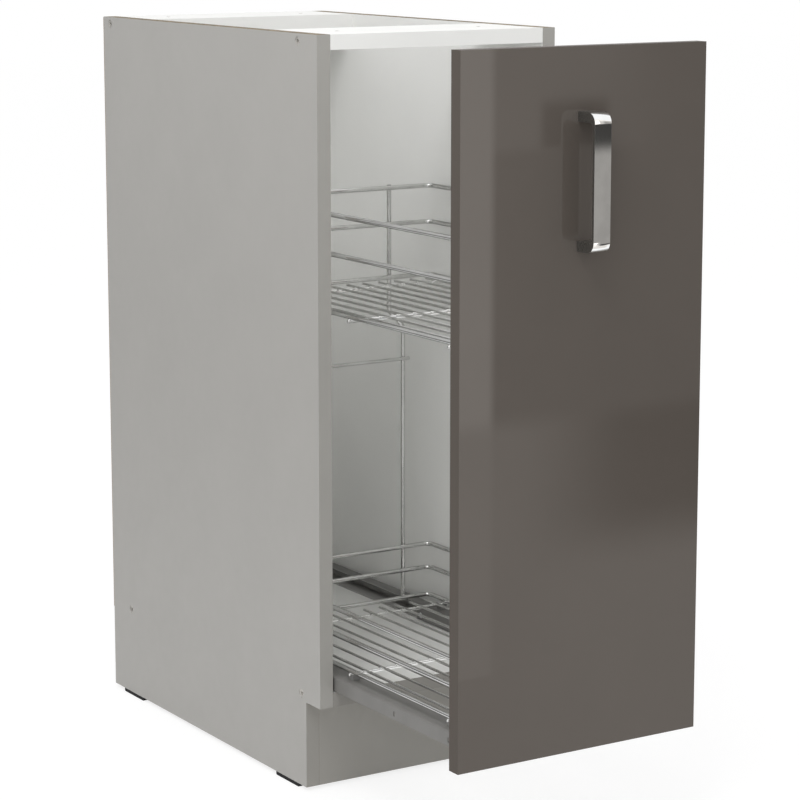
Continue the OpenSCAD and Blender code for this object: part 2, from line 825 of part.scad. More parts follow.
module panel_screw(x, z) {
    translate([x, y_panel + plate_t + seat, z]) rotate([-90, 0, 0]) {
        pan_screw(small_screw_d, small_screw_l, small_head_d, small_head_h);
    }
}

module plate_screws() {
    color([0.75, 0.75, 0.77]) placed() both_sides() for (z = plate_screw_zs) panel_screw(upright_x, z);
}

// Angle brackets that tie the moving rails to the panel
module front_bracket() {
    x0 = bracket_x - bracket_w / 2;
    x1 = bracket_x + bracket_w / 2;
    z1 = z_carrier_top + seat + plate_t;
    difference() {
        union() {
            block([x0, y_panel + seat, z_bracket], [x1, y_panel + plate_t, z_bracket + bracket_h]);
            block([x0, y_panel + seat, z_carrier_top + seat], [x1, y_panel + bracket_foot, z1]);
        }
        for (x = bracket_screw_xs) rod_y([x, y_panel - 1, bracket_screw_z], plate_t + 2, 4.2);
        for (y = rivet_ys) rod_z([bracket_x, y, z_carrier_top - 1], plate_t + 3, rivet_d + seat);
    }
}

module front_bracket_left() {
    color([0.72, 0.73, 0.74]) placed() on_left() front_bracket();
}

module front_bracket_right() {
    color([0.72, 0.73, 0.74]) placed() front_bracket();
}

module bracket_screws() {
    color([0.75, 0.75, 0.77]) placed() both_sides() for (x = bracket_screw_xs) {
        panel_screw(x, bracket_screw_z);
    }
}

// Rivets through bracket and rail, flush below so that the front roller passes under them
module bracket_rivets() {
    color([0.7, 0.7, 0.72]) placed() both_sides() for (y = rivet_ys) {
        z1 = z_carrier_top + seat + plate_t + seat;
        rod_z([bracket_x, y, z_web + seat], z1 - z_web - seat + eps, rivet_d);
        translate([bracket_x, y, z1]) cylinder(d1 = 6.6, d2 = 4, h = 1.1);
    }
}

// Moving rail: an inverted channel with rounded edges, seen along its length
module carrier_outline() {
    inner_bend = carrier_bend - carrier_t + 0.4;
    difference() {
        channel_outline(carrier_w, carrier_h, carrier_bend);
        translate([carrier_t, -1]) {
            channel_outline(carrier_w - 2 * carrier_t, carrier_h - carrier_t + 1, inner_bend);
        }
    }
}

module channel_outline(w, h, r) {
    square([w, h - r]);
    translate([r, 0]) square([w - 2 * r, h]);
    for (x = [r, w - r]) translate([x, h - r]) circle(r = r);
}

module carrier_rail() {
    x0 = carrier_x - carrier_w;
    slots_y = [for (k = [0 : slot_count - 1]) y_panel + slot_inset + k * slot_pitch];
    flat = slot_h - slot_w;
    z_slot = z_carrier + carrier_h * 0.42;
    difference() {
        translate([x0, y_carrier + runner_l, z_carrier]) rotate([90, 0, 0]) {
            linear_extrude(runner_l) carrier_outline();
        }
        for (y = slots_y) translate([carrier_x - carrier_t - 1, y, z_slot]) {
            for (s = [-1, 1]) rod_x([0, 0, s * flat / 2], carrier_t + 2, slot_w);
            translate([0, -slot_w / 2, -flat / 2]) cube([carrier_t + 2, slot_w, flat]);
        }
        for (y = rivet_ys) rod_z([bracket_x, y, z_web - 1], carrier_t + 2, rivet_d + seat);
        for (y = cross_ys) rod_z([clip_x, y, z_web - 1], carrier_t + 2, clip_peg_d + seat);
        rod_x([x0 - 1, y_rear_roller, z_rear_roller], carrier_t + 2, pin_d + seat / 2);
    }
}

module carrier_rail_left() {
    color([0.55, 0.55, 0.53]) placed() on_left() carrier_rail();
}

module carrier_rail_right() {
    color([0.55, 0.55, 0.53]) placed() carrier_rail();
}

// Saddles on the moving rails, pegged into them, for the lower basket's cross wires
clip_x = basket_x - 4;
clip_w = 8;
clip_l = 9;
clip_peg_d = 4;
clip_rise = 1.2;

module clip(y) {
    z0 = z_carrier_top + seat;
    z1 = z0 + clip_h + clip_rise;
    difference() {
        block([clip_x - clip_w / 2, y - clip_l / 2, z0], [clip_x + clip_w / 2, y + clip_l / 2, z1]);
        rod_x([clip_x - clip_w, y, z_cross], 2 * clip_w, cross_wire + 2 * seat);
    }
    rod_z([clip_x, y, z_web + seat], z0 - z_web, clip_peg_d);
}

module basket_clips() {
    color([0.1, 0.1, 0.1]) placed() both_sides() for (y = cross_ys) clip(y);
}

// Wire loops of the baskets
module basket_loop(z) {
    wire_loop(basket_x, y_basket_front, y_basket_back, z, rim_wire, basket_corner);
}

// Floor of a basket: wires along its depth, welded on top of three cross wires
module basket_grid(z) {
    z_c = z - frame_lift;
    half = floor((basket_x - rim_wire - floor_wire) / floor_pitch);
    weld = 0.3;
    z_f = z_c + cross_wire / 2 + floor_wire / 2 - weld;
    l = y_basket_back - y_basket_front - 2 * floor_end_gap;
    reach = basket_x + cross_overhang;
    for (y = cross_ys) rod_x([-reach, y, z_c], 2 * reach, cross_wire);
    for (k = [-half : half]) rod_y([k * floor_pitch, y_basket_front + floor_end_gap, z_f], l, floor_wire);
}

module upper_basket_rim() {
    color([0.85, 0.86, 0.87]) placed() basket_loop(z_upper + upper_rim_rise);
}

module upper_basket_rail() {
    color([0.85, 0.86, 0.87]) placed() basket_loop(z_upper + upper_rail_rise);
}

module upper_basket_frame() {
    color([0.85, 0.86, 0.87]) placed() basket_loop(z_upper);
}

module upper_basket_grid() {
    color([0.85, 0.86, 0.87]) placed() basket_grid(z_upper);
}

module lower_basket_rim() {
    color([0.85, 0.86, 0.87]) placed() basket_loop(z_lower + lower_rim_rise);
}

module lower_basket_rail() {
    color([0.85, 0.86, 0.87]) placed() basket_loop(z_lower + lower_rail_rise);
}

module lower_basket_frame() {
    color([0.85, 0.86, 0.87]) placed() basket_loop(z_lower);
}

module lower_basket_grid() {
    color([0.85, 0.86, 0.87]) placed() basket_grid(z_lower);
}

// Bent wire in the plane of the uprights, from angle a over an eighth turn
module step_arc(x, z, a) {
    translate([x, y_upright, z]) rotate([90, 0, 0]) rotate([0, 0, a]) rotate_extrude(angle = 45) {
        translate([step_bend, 0]) circle(d = upright_wire);
    }
}

// Rear upright: it joins both baskets and steps outwards below the upper one
module rear_upright() {
    tangent = step_bend * tan(22.5);
    z_bend = z_upper - step_drop;
    z_low = z_bend - upright_step;
    x_low = upright_x + upright_step;
    z_foot = z_lower - rim_wire / 2;
    z_head = z_upper + upper_rim_rise + upright_top;
    lap = 0.3;
    shift = (tangent - lap) / sqrt(2);
    diagonal = upright_step * sqrt(2) - 2 * (tangent - lap);
    rod_z([upright_x, y_upright, z_bend + tangent], z_head - z_bend - tangent, upright_wire);
    step_arc(upright_x + step_bend, z_bend + tangent, 180);
    translate([upright_x + shift, y_upright, z_bend - shift]) rotate([0, 135, 0]) {
        cylinder(d = upright_wire - 0.04, h = diagonal);
    }
    step_arc(x_low - step_bend, z_low - tangent, 0);
    translate([x_low, y_upright, z_low - tangent]) mirror([0, 0, 1]) {
        cylinder(d = upright_wire, h = z_low - tangent - z_foot);
    }
}

module rear_upright_left() {
    color([0.85, 0.86, 0.87]) placed() on_left() rear_upright();
}

module rear_upright_right() {
    color([0.85, 0.86, 0.87]) placed() rear_upright();
}

// Wire across the two uprights, between the baskets
module rear_crossbar() {
    reach = upright_x + upright_step + crossbar_overhang;
    color([0.85, 0.86, 0.87]) placed() rod_x([-reach, y_crossbar, z_crossbar], 2 * reach, cross_wire);
}

side_left();
side_right();
bottom_panel();
top_rail_front();
top_rail_rear();
back_panel();
plinth_panel();
plinth_blocks();
plinth_block_screws();
floor_glides();
carcass_screws();
dowels();
back_nails();
fixed_rail_left();
fixed_rail_right();
runner_screws();
front_roller_pins();
front_roller_left();
front_roller_right();
front_panel();
bumper_pads();
handle();
handle_screws();
front_plate_left();
front_plate_right();
plate_screws();
front_bracket_left();
front_bracket_right();
bracket_screws();
bracket_rivets();
carrier_rail_left();
carrier_rail_right();
rear_roller_pins();
rear_roller_left();
rear_roller_right();
basket_clips();
upper_basket_rim();
upper_basket_rail();
upper_basket_frame();
upper_basket_grid();
lower_basket_rim();
lower_basket_rail();
lower_basket_frame();
lower_basket_grid();
rear_upright_left();
rear_upright_right();
rear_crossbar();
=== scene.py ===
"""Finishes and a studio stage for a pull-out base cabinet with two wire baskets.

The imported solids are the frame. The script adds weld beads, rounded wire ends and the flanks of
the floor glides. Every length is in metres, in the frame of the solids.
"""

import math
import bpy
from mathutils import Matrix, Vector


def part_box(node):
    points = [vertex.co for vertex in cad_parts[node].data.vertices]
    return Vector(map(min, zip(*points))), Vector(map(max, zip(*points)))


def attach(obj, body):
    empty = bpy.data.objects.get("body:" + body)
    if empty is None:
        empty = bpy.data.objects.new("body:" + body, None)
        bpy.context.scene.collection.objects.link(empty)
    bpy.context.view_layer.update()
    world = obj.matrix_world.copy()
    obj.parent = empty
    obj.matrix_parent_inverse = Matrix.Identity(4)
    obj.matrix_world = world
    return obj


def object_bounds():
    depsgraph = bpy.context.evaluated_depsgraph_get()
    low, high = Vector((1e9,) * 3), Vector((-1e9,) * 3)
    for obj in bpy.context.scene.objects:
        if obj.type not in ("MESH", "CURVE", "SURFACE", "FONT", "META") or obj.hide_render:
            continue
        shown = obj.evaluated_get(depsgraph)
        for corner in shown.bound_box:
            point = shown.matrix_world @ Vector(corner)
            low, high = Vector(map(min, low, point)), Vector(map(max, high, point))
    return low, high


bl_info = {
    "name": "Pull-out base cabinet",
    "version": (1, 0, 0),
    "blender": (4, 5, 0),
    "location": "3D View > Sidebar > Cabinet",
    "description": "Finishes a pull-out base cabinet with two wire baskets and sets up its studio",
    "category": "Object",
}

import bmesh
import bpy
from bpy.props import FloatProperty, FloatVectorProperty, PointerProperty
from mathutils import Matrix, Vector

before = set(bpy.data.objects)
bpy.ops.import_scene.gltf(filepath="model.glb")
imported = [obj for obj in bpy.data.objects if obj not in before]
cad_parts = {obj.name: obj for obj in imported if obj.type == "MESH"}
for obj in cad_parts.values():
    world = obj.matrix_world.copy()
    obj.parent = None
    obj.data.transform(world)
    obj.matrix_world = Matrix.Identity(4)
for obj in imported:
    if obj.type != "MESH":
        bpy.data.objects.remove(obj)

START_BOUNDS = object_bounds()
SIDE_LOW, SIDE_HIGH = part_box("side_right")
PANEL_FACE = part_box("front_panel")[0].y

LEVELS = ("upper", "lower")
BLACK = (0.0, 0.0, 0.0)

# How far past a plane a point still counts as lying on it
SKIN = 0.0004


# Shader expressions


class Value:
    """A socket of a node tree, with arithmetic that adds Math nodes."""

    def __init__(self, nodes, socket):
        self.nodes = nodes
        self.socket = socket

    def _math(self, operation, *values):
        return self.nodes.node("ShaderNodeMath", {"operation": operation}, dict(enumerate(values)))

    def __add__(self, other):
        return self._math("ADD", self, other)

    def __radd__(self, other):
        return self._math("ADD", other, self)

    def __sub__(self, other):
        return self._math("SUBTRACT", self, other)

    def __rsub__(self, other):
        return self._math("SUBTRACT", other, self)

    def __mul__(self, other):
        return self._math("MULTIPLY", self, other)

    def __rmul__(self, other):
        return self._math("MULTIPLY", other, self)

    def __gt__(self, other):
        return self._math("GREATER_THAN", self, other)

    def __lt__(self, other):
        return self._math("LESS_THAN", self, other)

    def __abs__(self):
        return self._math("ABSOLUTE", self)

    def either(self, other):
        """One where either mask is one."""
        return self._math("MAXIMUM", self, other)

    def fade(self, first, second):
        """The first number where the value is 0 and the second where it is 1."""
        return self * (second - first) + first

    def ramp(self, low, high, to_low=0.0, to_high=1.0):
        """The value carried smoothly from one range to another."""
        settings = {"interpolation_type": "SMOOTHSTEP"}
        values = {"Value": self, "From Min": low, "From Max": high, "To Min": to_low, "To Max": to_high}
        return self.nodes.node("ShaderNodeMapRange", settings, values)


class Nodes:
    """A node tree whose nodes are all added by one method."""

    def __init__(self, tree):
        self.tree = tree

    def node(self, kind, settings=None, values=None, out=0):
        """Adds a node, sets it up, and gives or links its sockets. Returns one of its outputs."""
        made = self.tree.nodes.new(kind)
        for name, value in (settings or {}).items():
            if name == "stops":
                ramp = made.color_ramp
                while len(ramp.elements) < len(value):
                    ramp.elements.new(0.5)
                for element, (position, colour) in zip(ramp.elements, value):
                    element.position = position
                    element.color = (*colour, 1)
            else:
                setattr(made, name, value)
        for name, value in (values or {}).items():
            socket = made.inputs[name]
            if isinstance(value, Value):
                self.tree.links.new(value.socket, socket)
            else:
                socket.default_value = value
        return Value(self, made.outputs[out])

    def seen_rays(self):
        """One for rays from the camera, from gloss and through glass."""
        kinds = ("Camera", "Glossy", "Transmission")
        camera, glossy, through = (self.node("ShaderNodeLightPath", out=f"Is {kind} Ray") for kind in kinds)
        return camera.either(glossy).either(through)


class Finish(Nodes):
    """A procedural material with one Principled shader."""

    def __init__(self, name, **shader_values):
        self.material = bpy.data.materials.new(name)
        self.material.use_nodes = True
        super().__init__(self.material.node_tree)
        self.shader = self.tree.nodes["Principled BSDF"]
        for socket, value in shader_values.items():
            title = socket.replace("_", " ").title().replace("Ior", "IOR")
            self.shader.inputs[title].default_value = value
        self._place = None

    def place(self):
        """The point on the object, in metres."""
        if self._place is None:
            self._place = self.node("ShaderNodeTexCoord", out="Object")
        return self._place

    def axis(self, vector, name):
        """One axis of a vector, or one channel of a colour."""
        return self.node("ShaderNodeSeparateXYZ", values={0: vector}, out=name)

    def facing(self):
        """The direction that the surface looks in."""
        return self.node("ShaderNodeNewGeometry", out="Normal")

    def looks_along(self, axis):
        """One where the surface looks along an axis, either way."""
        return abs(self.axis(self.facing(), axis)) > 0.5

    def stretched(self, scale):
        """The point, scaled along each axis."""
        settings = {"operation": "MULTIPLY"}
        return self.node("ShaderNodeVectorMath", settings, {0: self.place(), 1: scale})

    def noise(self, scale, detail=3.0, roughness=0.5, vector=None):
        """Cloudy noise around one half, with the scale counted per metre."""
        values = {"Vector": vector or self.place(), "Scale": scale, "Detail": detail, "Roughness": roughness}
        return self.node("ShaderNodeTexNoise", values=values)

    def cells(self, scale, vector=None, out="Distance"):
        """Cells of uneven shape, with the scale counted per metre."""
        values = {"Vector": vector or self.place(), "Scale": scale}
        return self.node("ShaderNodeTexVoronoi", values=values, out=out)

    def shades(self, tone, colour, *stops):
        """Shades of a colour along a tone, given as pairs of a position and a factor."""
        ramp = [(position, shade(colour, factor)) for position, factor in stops]
        return self.node("ShaderNodeValToRGB", {"stops": ramp}, {0: tone})

    def blend(self, factor, first, second):
        """The first colour where the factor is 0 and the second where it is 1."""
        colours = [c if isinstance(c, Value) else (*c, 1) for c in (first, second)]
        values = {0: factor, 6: colours[0], 7: colours[1]}
        return self.node("ShaderNodeMix", {"data_type": "RGBA"}, values, out=2)

    def vary(self, tone, colour, darkest, lightest):
        """A colour that follows a tone from a darker to a lighter shade of itself."""
        return self.blend(tone, shade(colour, darkest), shade(colour, lightest))

    def feed(self, socket, value):
        """Links a value to a socket of the shader."""
        self.tree.links.new(value.socket, self.shader.inputs[socket])

    def fed(self, socket):
        """The value that feeds a socket now."""
        return Value(self, self.shader.inputs[socket].links[0].from_socket)

    def bump(self, height, depth, strength=1.0):
        """Raises the surface by the height, whose full range is depth metres."""
        values = {"Height": height, "Distance": depth, "Strength": strength}
        self.feed("Normal", self.node("ShaderNodeBump", values=values))


def both(name):
    """The names of a left and a right node."""
    return [f"{name}_{side}" for side in ("left", "right")]


def shade(colour, factor):
    """A colour made darker or lighter."""
    return tuple(c * factor for c in colour[:3])


def dress(finish, *names):
    """Gives a finish to nodes, on the objects' own slots."""
    for name in names:
        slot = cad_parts[name].material_slots[0]
        slot.link = "OBJECT"
        slot.material = finish.material


def ease_edges(width, *names):
    """Eases the sharp edges of nodes."""
    for name in names:
        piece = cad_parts[name]
        weld = piece.modifiers.new("close seams", "WELD")
        weld.merge_threshold = 1e-6
        bevel = piece.modifiers.new("eased edges", "BEVEL")
        bevel.width = width
        bevel.segments = 2
        bevel.limit_method = "ANGLE"
        bevel.angle_limit = math.radians(50)
        bevel.harden_normals = True


# Finishes


def melamine(finish, colour, mottle=0.018):
    """Coated board colour with the faint cloudiness of printed paper."""
    clouds = finish.noise(14.0, detail=4.0)
    pores = finish.noise(900.0, detail=2.0)
    tone = clouds * 0.6 + pores * 0.4
    return finish.vary(tone.ramp(0.3, 0.7), colour, 1 - mottle, 1 + mottle)


def raw_chipboard(finish, colour):
    """Pressed chips of a cut edge: light slivers in brown glue, stretched along the board."""
    spread = finish.stretched((0.45, 0.45, 1.6))
    chips = finish.cells(420.0, spread, out="Color")
    dust = finish.noise(1600.0, detail=3.0, roughness=0.6)
    tone = finish.axis(chips, "X") * 0.7 + dust * 0.45
    return finish.shades(tone, colour, (0.15, 0.32), (0.45, 0.75), (0.7, 1.0), (0.95, 1.5))


def grain(finish, depth=0.00003):
    """Fine orange-peel grain of a coated board."""
    finish.bump(finish.noise(1100.0, detail=2.0, roughness=0.55), depth, strength=0.35)


def side_finish(look):
    """Side panels: grey outside and in the screws' sinkings, white inside, darker in front, raw where cut."""
    finish = Finish("side_panel_board", roughness=0.46, specular_ior_level=0.4)
    facing = finish.facing()
    place = finish.place()
    across = abs(finish.axis(place, "X"))
    depth = finish.axis(place, "Y")
    on_face = finish.looks_along("X")
    on_front = finish.axis(facing, "Y") < -0.5
    outer = melamine(finish, look.side_colour)
    inner = melamine(finish, look.inside_colour, mottle=0.012)
    toe_edge = melamine(finish, shade(look.plinth_colour, 0.97))
    front_depth, plinth_gap, straight = 0.01, 0.002, 0.99
    behind_front = depth > SIDE_LOW.y + front_depth
    before_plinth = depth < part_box("plinth_panel")[0].y + plinth_gap
    edge = finish.blend(behind_front, melamine(finish, look.edge_colour), toe_edge)
    round_wall = (abs(finish.axis(facing, "Y")) < straight) * (abs(finish.axis(facing, "Z")) < straight)
    sinking = round_wall * (across > SIDE_HIGH.x - look.sinking_depth)
    raw = finish.blend(sinking, raw_chipboard(finish, look.chip_colour), outer)
    face = finish.blend(across > SIDE_LOW.x + SKIN, inner, outer)
    cut = finish.blend(on_front * before_plinth, raw, edge)
    finish.feed("Base Color", finish.blend(on_face, cut, face))
    rougher = (1 - on_face.either(on_front)) * 0.35
    finish.feed("Roughness", finish.noise(60.0).ramp(0.3, 0.7, 0.42, 0.5) + rougher)
    grain(finish)
    return finish


def board_finish(name, node, colour, edge_colour, look, long_axis="Y"):
    """A board with coated faces and edge strips, and raw chips on its ends and in its holes."""
    low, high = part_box(node)
    thin = min(range(3), key=lambda axis: high[axis] - low[axis])
    long = "XYZ".index(long_axis)
    finish = Finish(name, roughness=0.42, specular_ior_level=0.4)
    along = finish.axis(finish.place(), long_axis)
    near_edge = (along < low[long] + SKIN).either(along > high[long] - SKIN)
    on_face = finish.looks_along("XYZ"[thin])
    on_edge = finish.looks_along(long_axis) * near_edge
    coated = melamine(finish, colour, mottle=0.012)
    edged = melamine(finish, edge_colour, mottle=0.012)
    cut = finish.blend(on_edge, raw_chipboard(finish, look.chip_colour), edged)
    finish.feed("Base Color", finish.blend(on_face, cut, coated))
    finish.feed("Roughness", (1 - on_face.either(on_edge)) * 0.4 + 0.42)
    grain(finish, depth=0.00002)
    return finish


def back_finish(look):
    """Thin fibreboard: white lacquer inside, brown fibres with a mesh print on the wall side."""
    finish = Finish("back_board", roughness=0.6)
    facing = finish.axis(finish.facing(), "Y")
    upright = finish.stretched((1.0, 1.0, 0.25))
    fibres = finish.noise(700.0, detail=5.0, roughness=0.7, vector=upright)
    brown = finish.shades(fibres, look.fibre_colour, (0.3, 0.62), (0.55, 1.0), (0.8, 1.4))
    lacquer = melamine(finish, look.inside_colour, mottle=0.02)
    finish.feed("Base Color", finish.blend(facing < -0.5, brown, lacquer))
    finish.feed("Roughness", (facing > -0.5) * 0.25 + 0.5)
    mesh = finish.noise(1500.0, detail=2.0) + finish.cells(650.0) * 0.6
    finish.bump(mesh, depth=0.00008, strength=0.5)
    return finish


def wood_finish(name, colour):
    """Straight-grained turned hardwood."""
    finish = Finish(name, roughness=0.6)
    lines = finish.noise(900.0, detail=5.0, roughness=0.6, vector=finish.stretched((0.08, 1.0, 1.0)))
    flecks = finish.noise(2600.0, detail=2.0, vector=finish.stretched((0.2, 1.0, 1.0)))
    tone = lines * 0.75 + flecks * 0.3
    finish.feed("Base Color", finish.shades(tone, colour, (0.3, 0.7), (0.55, 1.0), (0.8, 1.15)))
    finish.bump(lines, depth=0.00005, strength=0.4)
    return finish


def gloss_finish(look):
    """High-gloss front: a lacquered face with the slight ripple of pressed foil, satin back and edges."""
    lacquer = {"coat_weight": 1.0, "coat_roughness": 0.015, "coat_ior": 1.5}
    finish = Finish("gloss_front", roughness=0.3, specular_ior_level=0.1, **lacquer)
    facing = finish.axis(finish.facing(), "Y")
    front = facing < -0.5
    outline = (finish.axis(finish.place(), "Y") < PANEL_FACE + SKIN / 2).either(1 - abs(facing))
    clouds = finish.noise(9.0)
    flakes = finish.noise(2600.0, detail=1.0, roughness=0.4)
    tone = clouds * 0.5 + flakes * 0.5
    colour = finish.vary(tone.ramp(0.35, 0.65), look.gloss_colour, 0.97, 1.03)
    back = melamine(finish, look.back_colour, mottle=0.02)
    finish.feed("Base Color", finish.blend(outline.ramp(0.4, 0.6), back, colour))
    finish.feed("Coat Weight", front)
    finish.feed("Roughness", front.ramp(0.0, 1.0, 0.45, 0.22))
    wide, narrow = (finish.noise(scale, detail=1.0, roughness=0.4) for scale in (7.0, 38.0))
    finish.bump(wide + narrow * 0.16, depth=0.00055)
    return finish


def plated_finish(name, colour, roughness, smudge=0.05, speck=900.0):
    """Plated or polished metal with faint clouding and fine polishing marks."""
    finish = Finish(name, metallic=1.0, roughness=roughness)
    clouds = finish.noise(35.0, detail=4.0)
    fine = finish.noise(speck, detail=2.0)
    finish.feed("Base Color", finish.vary(clouds.ramp(0.3, 0.7), colour, 0.93, 1.05))
    finish.feed("Roughness", fine.ramp(0.3, 0.75, roughness - smudge / 2, roughness + smudge))
    finish.bump(clouds * 0.5 + fine * 0.5, depth=0.00002, strength=0.4)
    return finish


def grid_finish(node, look):
    """Floor grid of a basket: the cross wires under the long wires are brighter, a painted highlight, and the
    long wires darker than the loops, painted shade.
    """
    finish = plated_finish(node + "_wire", look.grid_shade_colour, 0.06, smudge=0.03, speck=1500.0)
    # The cross wires get a brighter colour here: a painted highlight
    under = finish.axis(finish.place(), "Z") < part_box(node)[0].z + 2 * look.cross_radius
    finish.feed("Base Color", finish.blend(under, finish.fed("Base Color"), look.cross_highlight_colour))
    return finish


def handle_finish(look):
    """Bow handle: the strap's face and bends are polished, its sides, back and legs are satin. The bright
    polished colour is partly a painted highlight, the dark satin colour partly painted shade.
    """
    gloss = 0.07
    finish = plated_finish("polished_handle", look.polished_and_highlight_colour, gloss, smudge=0.03, speck=1400.0)
    bends = finish.axis(finish.place(), "Y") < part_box("handle")[0].y + look.handle_bend
    outward = finish.axis(finish.facing(), "Y") < 0.3
    front = (1 - finish.looks_along("X")) * bends * outward
    brushed = finish.noise(2600.0, detail=2.0, vector=finish.stretched((1.0, 1.0, 0.1)))
    satin = finish.vary(brushed.ramp(0.3, 0.7), look.satin_and_shade_colour, 0.96, 1.04)
    finish.feed("Base Color", finish.blend(front, satin, finish.fed("Base Color")))
    finish.feed("Roughness", front.fade(brushed.ramp(0.3, 0.7, 0.26, 0.32), gloss))
    return finish


def zinc_finish(name, colour, roughness=0.34):
    """Zinc plating: soft crystalline patches that differ in sheen."""
    finish = Finish(name, metallic=1.0, roughness=roughness)
    patches = finish.axis(finish.cells(260.0, out="Color"), "X")
    dust = finish.noise(1200.0, roughness=0.6)
    tone = patches * 0.55 + dust * 0.45
    finish.feed("Base Color", finish.vary(tone.ramp(0.2, 0.8), colour, 0.84, 1.08))
    finish.feed("Roughness", tone.ramp(0.2, 0.8, roughness - 0.06, roughness + 0.1))
    finish.bump(dust, depth=0.00003, strength=0.3)
    return finish


def powder_finish(name, colour, painted_light_below=None, low_z=0.0):
    """Powder coat: even colour with a fine pebbled skin, and a paler colour below a height, which is painted
    light where shade falls.
    """
    finish = Finish(name, roughness=0.45, specular_ior_level=0.5)
    pebbles = finish.noise(1500.0, detail=2.0)
    clouds = finish.noise(30.0)
    tone = pebbles * 0.35 + clouds * 0.65
    coat = finish.vary(tone.ramp(0.35, 0.65), colour, 0.94, 1.05)
    if painted_light_below:
        coat = finish.blend(finish.axis(finish.place(), "Z") > low_z, painted_light_below[:3], coat)
    finish.feed("Base Color", coat)
    finish.feed("Roughness", pebbles.ramp(0.3, 0.7, 0.38, 0.52))
    finish.bump(pebbles, depth=0.00006, strength=0.5)
    return finish


def plastic_finish(name, colour, roughness, depth=0.00004, gloss=0.5):
    """Moulded plastic with a spark-eroded grain and slight flow marks."""
    finish = Finish(name, roughness=roughness, specular_ior_level=gloss)
    spark = finish.noise(2200.0, detail=2.0)
    flow = finish.noise(70.0, detail=2.0, roughness=0.4, vector=finish.stretched((1.0, 0.3, 1.0)))
    finish.feed("Base Color", finish.vary(flow.ramp(0.35, 0.65), colour, 0.93, 1.06))
    finish.feed("Roughness", spark.ramp(0.3, 0.7, roughness - 0.06, roughness + 0.08))
    finish.bump(spark, depth, strength=0.5)
    return finish


# Sizes and colours that a user would change


def colour_property(name, description, default):
    """A colour that the panel shows as a swatch."""
    return FloatVectorProperty(
        name=name, description=description, default=default, subtype="COLOR", size=3, min=0.0, max=1.0
    )


def length_property(name, description, default, low, high):
    """A length in metres between two limits."""
    return FloatProperty(
        name=name, description=description, default=default, min=low, max=high,
        subtype="DISTANCE", unit="LENGTH", precision=5,
    )


class BoardLook(bpy.types.PropertyGroup):
    """The boards of the carcass"""

    side_colour: colour_property("Side panels", "Outer faces of the side panels", (0.418, 0.408, 0.388))
    edge_colour: colour_property("Front edges", "Edge strips of the side panels", (0.390, 0.380, 0.356))
    inside_colour: colour_property("Inside", "Inner faces, top rails and cabinet floor", (0.91, 0.91, 0.89))
    plinth_colour: colour_property("Plinth", "Plinth board", (0.345, 0.333, 0.307))
    chip_colour: colour_property("Raw chipboard", "Cut edges and holes", (0.24, 0.195, 0.13))
    fibre_colour: colour_property("Fibreboard", "Wall side of the back panel", (0.30, 0.19, 0.105))
    dowel_colour: colour_property("Dowels", "Beech dowels", (0.62, 0.45, 0.28))
    edge_radius: length_property("Edge radius", "Easing of the boards' edges", 0.0004, 0.0001, 0.002)
    sinking_depth: length_property("Sinkings", "Depth of the screws' grey sinkings", 0.004, 0.001, 0.01)


class FrontLook(bpy.types.PropertyGroup):
    """The front panel and its handle"""

    gloss_colour: colour_property("Gloss front", "Outer face of the front panel", (0.105, 0.090, 0.078))
    back_colour: colour_property("Panel back", "Inner face of the front panel", (0.78, 0.78, 0.76))
    # The handle's bright polished colour is partly a painted highlight, its dark satin colour partly painted
    # shade
    polished_and_highlight_colour: colour_property("Handle", "Polished metal of the handle", (0.92, 0.93, 0.93))
    satin_and_shade_colour: colour_property("Handle sides", "Satin metal of the sides and legs", (0.35, 0.35, 0.335))
    handle_bend: length_property("Handle bend", "Depth of the polished bends", 0.009, 0.002, 0.02)
    panel_edge: length_property("Panel edge", "Easing of the front panel's edges", 0.0006, 0.0001, 0.002)
    handle_edge: length_property("Handle edge", "Easing of the handle's edges", 0.0005, 0.0001, 0.001)
    pad_colour: colour_property("Pads", "Soft pads on the panel's back", (0.62, 0.62, 0.58))


class HardwareLook(bpy.types.PropertyGroup):
    """The rails, rollers, screws and plastic pieces"""

    rail_colour: colour_property("Moving rails", "Painted steel of the moving rails", (0.197, 0.192, 0.183))
    fixed_rail_colour: colour_property("Fixed rails", "Painted steel of the fixed rails", (0.19, 0.188, 0.18))
    # The fixed rails' paler colour below their top flange is painted light in their shaded channel
    web_painted_light_colour: colour_property("Fixed rails' webs", "Fixed rails below their top flange", (0.4, 0.393, 0.38))
    flange_height: length_property("Flange height", "Underside of the rails' top flange", 0.129, 0.11, 0.14)
    zinc_colour: colour_property("Screws and brackets", "Zinc plated steel", (0.66, 0.67, 0.69))
    head_colour: colour_property("Connecting screws", "Dull heads in the side panels", (0.64, 0.625, 0.595))
    black_colour: colour_property("Black plastic", "Floor glides", (0.006, 0.006, 0.0065))
    glide_length: length_property("Glide length", "Length of a floor glide", 0.05, 0.02, 0.08)
    clip_colour: colour_property("Clips", "Saddles under the lower basket", (0.25, 0.248, 0.24))
    white_colour: colour_property("White plastic", "Plinth blocks", (0.74, 0.74, 0.71))
    nylon_colour: colour_property("Rollers", "Nylon rollers", (0.78, 0.78, 0.74))


